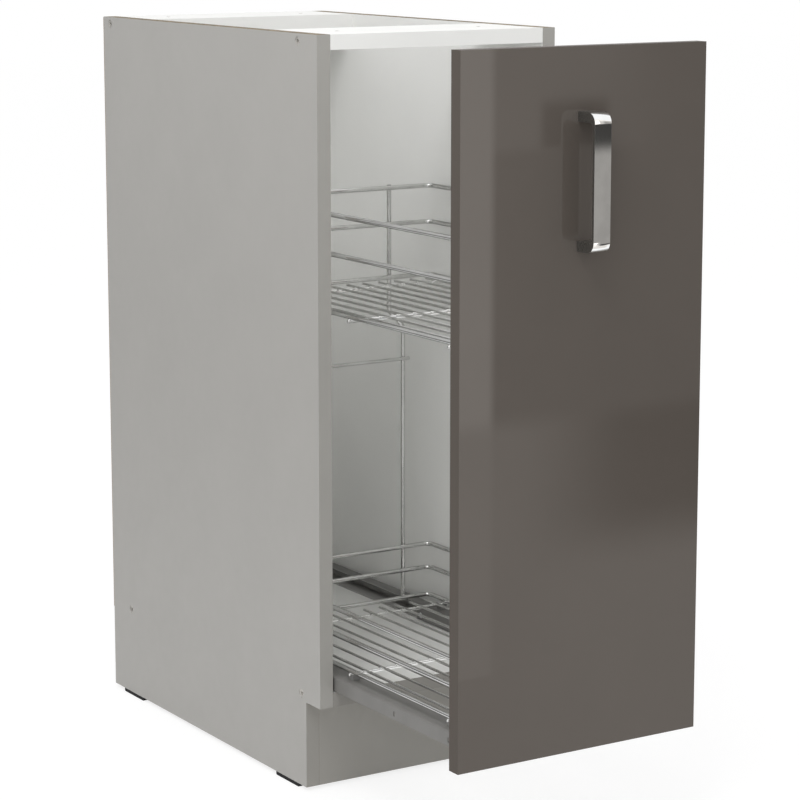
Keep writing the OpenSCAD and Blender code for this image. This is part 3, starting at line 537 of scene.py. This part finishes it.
class BasketLook(bpy.types.PropertyGroup):
    """The wires of the baskets and their welds"""

    wire_colour: colour_property("Wires", "Bright plated wires", (0.68, 0.68, 0.67))
    # The floor grid's long wires are darker and its cross wires brighter than the loops: painted shade and
    # painted highlight
    grid_shade_colour: colour_property("Grid wires", "Long wires of the baskets' floors", (0.58, 0.58, 0.57))
    cross_highlight_colour: colour_property("Cross wires", "Wires across the baskets' floors", (0.86, 0.86, 0.85))
    floor_pitch: length_property("Floor wire spacing", "Distance between the floor wires", 0.0213, 0.01, 0.05)
    cross_inset: length_property("Cross wire inset", "Distance from the frame's ends", 0.034, 0.01, 0.1)
    cross_radius: length_property("Cross wire radius", "Radius of the cross wires", 0.002, 0.001, 0.004)
    upright_radius: length_property("Upright radius", "Radius of the rear uprights", 0.0025, 0.001, 0.004)
    bead_size: length_property("Weld bead", "Half length of a weld bead", 0.0019, 0.0005, 0.005)
    dome_length: length_property("Wire end", "Length of a wire's rounded end", 0.0009, 0.0001, 0.002)


class StageLook(bpy.types.PropertyGroup):
    """The camera, the lights and the floor"""

    camera_place: FloatVectorProperty(
        name="Camera", description="Place of the camera", default=(-1.5570, -2.49844, 0.9629), size=3,
        subtype="TRANSLATION", unit="LENGTH",
    )
    camera_yaw: FloatProperty(
        name="Turn", description="Turn of the camera from the cabinet's front-to-back line",
        default=math.radians(32.199), subtype="ANGLE",
    )
    camera_pitch: FloatProperty(
        name="Tilt", description="Downward tilt of the camera", default=math.radians(9.68), subtype="ANGLE"
    )
    camera_lens: FloatProperty(
        name="Lens", description="Focal length in millimetres on a 36 mm sensor", default=120.855,
        min=20.0, max=300.0,
    )
    camera_shift: FloatProperty(
        name="Shift", description="Vertical lens shift", default=-0.06, min=-0.2, max=0.2
    )
    key_power: FloatProperty(
        name="Key light", description="Power of the main soft light", default=20.8, subtype="POWER"
    )
    fill_power: FloatProperty(
        name="Fill light", description="Power of the second soft light", default=7.6, subtype="POWER"
    )
    ambient: FloatProperty(
        name="Ambient", description="Light of the surroundings", default=0.76, min=0.0, max=2.0
    )
    card_tint: colour_property("Cards", "Warm tint of the grey cards", (1.0, 0.955, 0.905))
    floor_colour: colour_property("Floor", "Pale studio floor", (0.80, 0.80, 0.80))


# Pieces that the script adds


def add_object(name, data):
    """Puts a mesh, a light or a camera into the scene."""
    added = bpy.data.objects.new(name, data)
    bpy.context.scene.collection.objects.link(added)
    return added


def add_mesh(name, mesh):
    """Puts a finished bmesh into the scene and frees it."""
    data = bpy.data.meshes.new(name)
    mesh.to_mesh(data)
    mesh.free()
    return add_object(name, data)


def glide_flanks(length):
    """The outer flanks of the floor glides, which end flush with the side panels."""
    low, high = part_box("floor_glides")
    foot, top, ease, overlap = low.z, SIDE_LOW.z, 0.001, 0.0005
    eased = foot + ease
    outline = [(ease, foot), (length - ease, foot), (length, eased), (length, top), (0, top), (0, eased)]
    mesh = bmesh.new()
    for start in (low.y, high.y - length):
        for side in (-1, 1):
            inner = side * (high.x - overlap)
            face = mesh.faces.new([mesh.verts.new((inner, start + y, z)) for y, z in outline])
            grown = bmesh.ops.extrude_face_region(mesh, geom=[face])["geom"]
            moved = [part for part in grown if isinstance(part, bmesh.types.BMVert)]
            bmesh.ops.translate(mesh, verts=moved, vec=(side * SIDE_HIGH.x - inner, 0, 0))
    bmesh.ops.recalc_face_normals(mesh, faces=mesh.faces)
    return add_mesh("glide_flanks", mesh)


def beads_piece(name, places, size):
    """Small solidified beads of melted wire as one mesh, each slightly different from the next."""
    unevenness, step = 0.12, 2.4
    mesh = bmesh.new()
    for index, (place, spread) in enumerate(places):
        wobble = 1 + unevenness * math.sin(index * step)
        radii = (size * spread[0] * wobble, size * spread[1] / wobble, size * spread[2] * wobble)
        matrix = Matrix.Translation(place) @ Matrix.Diagonal((*radii, 1))
        bmesh.ops.create_icosphere(mesh, subdivisions=2, radius=1.0, matrix=matrix)
    for face in mesh.faces:
        face.smooth = True
    return add_mesh(name, mesh)


# How far a weld bead spreads along X, Y and Z, as shares of the beads' size
UPRIGHT_BEAD = (1.1, 0.5, 1.1)
CROSSBAR_BEAD = (1.0, 0.5, 1.0)
PLATE_BEAD = (1.9, 0.45, 0.6)
FRAME_BEAD = (1.1, 1.1, 0.5)
GRID_BEAD = (1.1, 0.9, 0.55)


def loop_places(level, upright_x, upright_y):
    """Beads of a basket's three loops, on the rear uprights and on the front plates."""
    plates = [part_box(name) for name in both("front_plate")]
    from_edge, above_plate, from_wire = 0.005, 0.0004, 0.0012
    places = []
    for part in ("rim", "rail", "frame"):
        low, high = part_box(f"{level}_basket_{part}")
        z = (low.z + high.z) / 2
        for x in (-upright_x, upright_x):
            places.append((Vector((x, upright_y, z)), UPRIGHT_BEAD))
        for low, high in plates:
            for x in (low.x + from_edge, high.x - from_edge):
                for side in (-1, 1):
                    places.append((Vector((x, high.y + above_plate, z + side * from_wire)), PLATE_BEAD))
    return places


def floor_places(level, look):
    """Beads of a basket's floor: the cross wires on the frame and the long wires on the cross wires."""
    low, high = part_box(f"{level}_basket_frame")
    radius = (high.z - low.z) / 2
    z = low.z - 0.0001
    grid_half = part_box(f"{level}_basket_grid")[1].x
    beside_middle = round((grid_half - look.floor_pitch / 2) / look.floor_pitch)
    places = []
    for y in cross_places(level, look):
        for x in (low.x + radius, high.x - radius):
            places.append((Vector((x, y, z)), FRAME_BEAD))
        for step in range(-beside_middle, beside_middle + 1):
            places.append((Vector((step * look.floor_pitch, y, z)), GRID_BEAD))
    return places


def weld_places(look):
    """Where wires touch, and how the bead there spreads."""
    low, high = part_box("rear_upright_right")
    inner_x, outer_x = low.x + look.upright_radius, high.x - look.upright_radius
    places = []
    for level, upright_x in zip(LEVELS, (inner_x, outer_x)):
        places += loop_places(level, upright_x, low.y) + floor_places(level, look)
    beam_low, beam_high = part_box("rear_crossbar")
    for x in (-outer_x, outer_x):
        places.append((Vector((x, low.y, (beam_low.z + beam_high.z) / 2)), CROSSBAR_BEAD))
    return places


def cross_places(level, look):
    """Where the three cross wires of a basket lie along the depth."""
    low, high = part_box(f"{level}_basket_frame")
    radius = (high.z - low.z) / 2
    first, last = low.y + radius, high.y - radius
    return first + look.cross_inset, (first + last) / 2, last - look.cross_inset


def wire_ends(look):
    """The ends of the cross wires and the crossbar, and the size of the dome on each."""
    places = []
    for level in LEVELS:
        low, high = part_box(f"{level}_basket_grid")
        dome = (look.dome_length, look.cross_radius, look.cross_radius)
        for y in cross_places(level, look):
            for x in (low.x, high.x):
                places.append((Vector((x, y, low.z + look.cross_radius)), dome))
    low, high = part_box("rear_crossbar")
    middle = (low + high) / 2
    radius = (high.z - low.z) / 2
    for x in (low.x, high.x):
        places.append((Vector((x, middle.y, middle.z)), (look.dome_length, radius, radius)))
    return places


# Pieces of the studio


def corners(left, right, low, high):
    """The corners of a rectangle, counter-clockwise."""
    return (left, low), (right, low), (right, high), (left, high)


def flat_piece(name, points):
    """One flat face through four points."""
    data = bpy.data.meshes.new(name)
    data.from_pydata(points, [], [(0, 1, 2, 3)])
    return add_object(name, data)


def soft_light(name, place, target, size, power):
    """A square area light that looks at its target."""
    data = bpy.data.lights.new(name, "AREA")
    data.shape = "RECTANGLE"
    data.size, data.size_y = size, size
    data.energy = power
    lamp = add_object(name, data)
    lamp.location = place
    lamp.rotation_euler = (Vector(target) - Vector(place)).to_track_quat("-Z", "Y").to_euler()


def card(name, points, finish):
    """A flat studio card that only reflections see."""
    piece = flat_piece(name, points)
    piece.data.materials.append(finish.material)
    for ray in ("camera", "diffuse", "shadow", "transmission", "volume_scatter"):
        setattr(piece, "visible_" + ray, False)


def card_finish(name, tint, level=1.0):
    """A matt studio card that glows evenly."""
    finish = Finish(name, base_color=(0, 0, 0, 1), roughness=1.0, specular_ior_level=0.0)
    finish.shader.inputs["Emission Color"].default_value = (*shade(tint, level), 1)
    finish.shader.inputs["Emission Strength"].default_value = 1.0
    return finish


def side_card_finish(tint, bottom, top):
    """A grey card left of the cabinet, paler towards its top."""
    finish = card_finish("side_card", tint)
    fade_start, fade_end = 0.4, 0.75
    level = finish.axis(finish.place(), "Z").ramp(fade_start, fade_end, bottom, top)
    finish.feed("Emission Color", finish.blend(level, BLACK, tint))
    return finish


def backdrop_finish(tint):
    """A grey backdrop as the gloss front mirrors it.

    A pale strip stands on the left. Beside it a darker block with a dark spot on it stands over
    pale ground, which falls off into shadow. Everything fades out towards the top.
    """
    finish = card_finish("backdrop_card", tint)
    across = finish.axis(finish.place(), "X")
    height = finish.axis(finish.place(), "Z")
    # Levels of light, as shares of the tint
    dark, brightest = 0.04, 2.0
    block_level, ground_level, strip_ground_level = 0.33, 0.79, 1.03
    strip_levels, over_block_levels = (1.0, 1.52), (0.61, 0.32)

    # Where one tone passes into the next, in metres across the card
    strip_edge, strip_rise, over_block_fall = (0.256, 0.272), (0.05, 0.2), (0.40, 0.54)
    shadow_edge, spot_middle, spot_edge = (0.28, 0.50), 0.385, (0.04, 0.06)

    # The same in metres above the floor
    ground_top, block_top, top_fade = (0.30, 0.335), (0.645, 0.665), (0.8, 1.1)
    shadow_foot, spot_foot, spot_top = (0.11, 0.20), (0.648, 0.664), (0.70, 0.725)

    strip = across.ramp(*strip_edge, 1.0, 0.0)
    strip_level = across.ramp(*strip_rise, *strip_levels)
    over_block = across.ramp(*over_block_fall, *over_block_levels)
    block = height.ramp(*block_top).fade(block_level, over_block)
    shadow = across.ramp(*shadow_edge) * height.ramp(*shadow_foot)
    ground = shadow.fade(strip.fade(ground_level, strip_ground_level), dark)
    standing = height.ramp(*ground_top).fade(ground, strip.fade(block, strip_level))
    spot_width = abs(across - spot_middle).ramp(*spot_edge, 1.0, 0.0)
    spot = spot_width * height.ramp(*spot_foot) * height.ramp(*spot_top, 1.0, 0.0)
    level = height.ramp(*top_fade).fade(spot.fade(standing, dark), 1.0)
    finish.feed("Emission Color", finish.blend(level * (1 / brightest), BLACK, tint))
    finish.shader.inputs["Emission Strength"].default_value = brightest
    return finish


# Operators


class CABINET_OT_boards(bpy.types.Operator):
    """Finish the side panels, floor board, rails, plinth and back panel"""

    bl_idname = "cabinet.boards"
    bl_label = "Boards"

    def execute(self, context):
        look = context.scene.cabinet_boards
        dress(side_finish(look), *both("side"))
        white, grey = look.inside_colour, look.plinth_colour
        # The floor board's edge strip is the plinth grey made darker; the darkening is painted shade
        edge_strips = {"bottom_panel": shade(grey, 0.85), "top_rail_front": white, "top_rail_rear": white}
        for node, edge in edge_strips.items():
            dress(board_finish(node + "_board", node, white, edge, look), node)
        dress(board_finish("plinth_board", "plinth_panel", grey, grey, look, "Z"), "plinth_panel")
        dress(back_finish(look), "back_panel")
        ease_edges(look.edge_radius, *both("side"), *edge_strips, "plinth_panel")
        return {"FINISHED"}


class CABINET_OT_joinery(bpy.types.Operator):
    """Finish the screws, dowels, nails, glides and plinth blocks"""

    bl_idname = "cabinet.joinery"
    bl_label = "Joinery"

    def execute(self, context):
        boards = context.scene.cabinet_boards
        metal = context.scene.cabinet_hardware
        zinc = zinc_finish("zinc_screws", metal.zinc_colour)
        dress(zinc, "plinth_block_screws", "back_nails", "runner_screws")
        dress(zinc_finish("dull_screw_heads", metal.head_colour, roughness=0.7), "carcass_screws")
        dress(wood_finish("beech_dowels", boards.dowel_colour), "dowels")
        black = plastic_finish("black_glides", metal.black_colour, 0.5, gloss=0.12)
        dress(black, "floor_glides")
        flanks = glide_flanks(metal.glide_length)
        flanks.data.materials.append(black.material)
        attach(flanks, "carcass")
        dress(plastic_finish("white_blocks", metal.white_colour, 0.4), "plinth_blocks")
        return {"FINISHED"}


class CABINET_OT_front(bpy.types.Operator):
    """Finish the gloss front panel, its pads, plates and screws"""

    bl_idname = "cabinet.front"
    bl_label = "Front panel"

    def execute(self, context):
        look = context.scene.cabinet_front
        metal = context.scene.cabinet_hardware
        dress(gloss_finish(look), "front_panel")
        ease_edges(look.panel_edge, "front_panel")
        dress(plastic_finish("soft_pads", look.pad_colour, 0.3, depth=0.00001), "bumper_pads")
        dress(zinc_finish("zinc_plates", metal.zinc_colour, roughness=0.3), *both("front_plate"))
        screws = ("plate_screws", "bracket_screws", "handle_screws")
        dress(zinc_finish("zinc_panel_screws", metal.zinc_colour, roughness=0.26), *screws)
        return {"FINISHED"}


class CABINET_OT_handle(bpy.types.Operator):
    """Finish the bow handle"""

    bl_idname = "cabinet.handle"
    bl_label = "Handle"

    def execute(self, context):
        look = context.scene.cabinet_front
        dress(handle_finish(look), "handle")
        ease_edges(look.handle_edge, "handle")
        return {"FINISHED"}


class CABINET_OT_runners(bpy.types.Operator):
    """Finish the rails, rollers, pins, brackets and rivets"""

    bl_idname = "cabinet.runners"
    bl_label = "Runners"

    def execute(self, context):
        look = context.scene.cabinet_hardware
        dress(powder_finish("painted_rails", look.rail_colour), *both("carrier_rail"))
        # Below their top flange the fixed rails are painted paler: painted light in their shaded channel
        tones = (look.fixed_rail_colour, look.web_painted_light_colour, look.flange_height)
        dress(powder_finish("painted_fixed_rails", *tones), *both("fixed_rail"))
        dress(zinc_finish("zinc_brackets", look.zinc_colour, roughness=0.32), *both("front_bracket"))
        pins = ("front_roller_pins", "rear_roller_pins", "bracket_rivets")
        dress(plated_finish("turned_pins", look.zinc_colour, roughness=0.24), *pins)
        nylon = plastic_finish("nylon_rollers", look.nylon_colour, 0.34, depth=0.00002)
        dress(nylon, *both("front_roller"), *both("rear_roller"))
        dress(plastic_finish("dark_clips", look.clip_colour, 0.4), "basket_clips")
        return {"FINISHED"}


class CABINET_OT_baskets(bpy.types.Operator):
    """Finish the basket wires and lay a weld bead where wires meet"""

    bl_idname = "cabinet.baskets"
    bl_label = "Baskets"

    def execute(self, context):
        look = context.scene.cabinet_baskets
        wire = plated_finish("bright_wire", look.wire_colour, 0.06, smudge=0.03, speck=1500.0)
        wire.shader.inputs["Specular Tint"].default_value = (0.35, 0.35, 0.35, 1)
        loops = [f"{level}_basket_{part}" for level in LEVELS for part in ("rim", "rail", "frame")]
        dress(wire, *loops, *both("rear_upright"), "rear_crossbar")
        for level in LEVELS:
            dress(grid_finish(f"{level}_basket_grid", look), f"{level}_basket_grid")
        # The weld beads are a shade brighter than the wire, as a painted highlight
        bead = plated_finish("weld_beads", shade(look.wire_colour, 1.1), 0.16, smudge=0.06, speck=2400.0)
        welds = beads_piece("basket_welds", weld_places(look), look.bead_size)
        welds.data.materials.append(bead.material)
        ends = beads_piece("basket_wire_ends", wire_ends(look), size=1.0)
        ends.data.materials.append(wire.material)
        for added in (welds, ends):
            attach(added, "carriage")
        return {"FINISHED"}


class CABINET_OT_stage(bpy.types.Operator):
    """Set up the pale floor, the soft lights, the surroundings and the camera"""

    bl_idname = "cabinet.stage"
    bl_label = "Stage"

    def execute(self, context):
        scene = context.scene
        look = scene.cabinet_stage
        scene.view_settings.view_transform = "Standard"
        self.make_camera(scene, look)
        self.make_world(scene, look)
        self.make_floor(look)
        above_left, left_of_camera = (-1.1, -0.9, 2.6), (-2.4, -2.2, 1.7)
        soft_light("key_light", above_left, (0, -0.1, 0.5), size=1.2, power=look.key_power)
        soft_light("fill_light", left_of_camera, (0, -0.1, 0.42), size=1.4, power=look.fill_power)
        self.make_cards(look.card_tint)
        return {"FINISHED"}

    def make_cards(self, tint):
        """Grey cards beside the lens, before the plinth and left of the cabinet, seen only in gloss."""
        far, near, beside, above_floor = PANEL_FACE - 0.55, PANEL_FACE - 0.22, -0.75, 0.001
        backdrop = [(x, far, z) for x, z in corners(left=-0.1, right=1.6, low=0.0, high=1.1)]
        card("backdrop", backdrop, backdrop_finish(tint[:]))
        ground = [(x, y, above_floor) for x, y in corners(left=-0.2, right=0.9, low=far, high=near)]
        card("ground_card", ground, card_finish("ground_card", tint, level=0.79))
        side = [(beside, y, z) for y, z in corners(left=0.1, right=2.6, low=0.0, high=1.7)]
        card("side_card", side, side_card_finish((1.0, 1.0, 0.99), bottom=0.2, top=0.6))

    def make_camera(self, scene, look):
        """The photograph's view of the half-open cabinet."""
        data = bpy.data.cameras.new("camera")
        data.lens = look.camera_lens
        data.sensor_width = 36.0
        data.shift_y = look.camera_shift
        data.clip_end = 50.0
        camera = add_object("camera", data)
        camera.location = look.camera_place
        camera.rotation_euler = (math.pi / 2 - look.camera_pitch, 0, -look.camera_yaw)
        scene.camera = camera

    def make_world(self, scene, look):
        """Dim light from all around, which the camera and the gloss see as white."""
        world = bpy.data.worlds.new("studio")
        scene.world = world
        world.use_nodes = True
        nodes = Nodes(world.node_tree)
        light = world.node_tree.nodes["Background"]
        light.inputs["Color"].default_value = (1, 1, 1, 1)
        strength = nodes.seen_rays().fade(look.ambient, 1.0)
        nodes.tree.links.new(strength.socket, light.inputs["Strength"])

    def make_floor(self, look):
        """A pale floor that the camera and the gloss see as nearly white, with soft shadows."""
        reach, below, glow, glow_share = 12.0, 0.0002, 1.16, 0.7
        floor = flat_piece("floor", [(x, y, 0) for x, y in corners(-reach, reach, -reach, reach)])
        floor.location.z = START_BOUNDS[0].z - below
        colour = (*look.floor_colour, 1)
        finish = Finish("studio_floor", base_color=colour, roughness=0.9, specular_ior_level=0.1)
        plain = Value(finish, finish.shader.outputs[0])
        white = finish.node("ShaderNodeEmission", values={"Strength": glow})
        shares = {0: finish.seen_rays() * glow_share, 1: plain, 2: white}
        mix = finish.node("ShaderNodeMixShader", values=shares)
        finish.tree.links.new(mix.socket, finish.tree.nodes["Material Output"].inputs["Surface"])
        floor.data.materials.append(finish.material)


STEPS = (
    CABINET_OT_stage,
    CABINET_OT_boards,
    CABINET_OT_joinery,
    CABINET_OT_front,
    CABINET_OT_handle,
    CABINET_OT_runners,
    CABINET_OT_baskets,
)
LOOKS = {
    "cabinet_boards": BoardLook,
    "cabinet_front": FrontLook,
    "cabinet_hardware": HardwareLook,
    "cabinet_baskets": BasketLook,
    "cabinet_stage": StageLook,
}


class CABINET_PT_panel(bpy.types.Panel):
    """Lists the steps that finish the cabinet and their settings"""

    bl_idname = "CABINET_PT_panel"
    bl_label = "Pull-out base cabinet"
    bl_space_type = "VIEW_3D"
    bl_region_type = "UI"
    bl_category = "Cabinet"

    def draw(self, context):
        layout = self.layout
        for step in STEPS:
            layout.operator(step.bl_idname)
        for name, look in LOOKS.items():
            box = layout.box()
            for prop in look.__annotations__:
                box.prop(getattr(context.scene, name), prop)


def register():
    """Registers the classes and gives every scene the settings."""
    for kind in (*LOOKS.values(), *STEPS, CABINET_PT_panel):
        bpy.utils.register_class(kind)
    for name, look in LOOKS.items():
        setattr(bpy.types.Scene, name, PointerProperty(type=look))


def unregister():
    """Takes the settings and the classes away again."""
    for name in LOOKS:
        delattr(bpy.types.Scene, name)
    for kind in reversed((*LOOKS.values(), *STEPS, CABINET_PT_panel)):
        bpy.utils.unregister_class(kind)


def main():
    """Runs every step."""
    register()
    for step in STEPS:
        group, name = step.bl_idname.split(".")
        getattr(getattr(bpy.ops, group), name)()


if __name__ == "__main__":
    main()
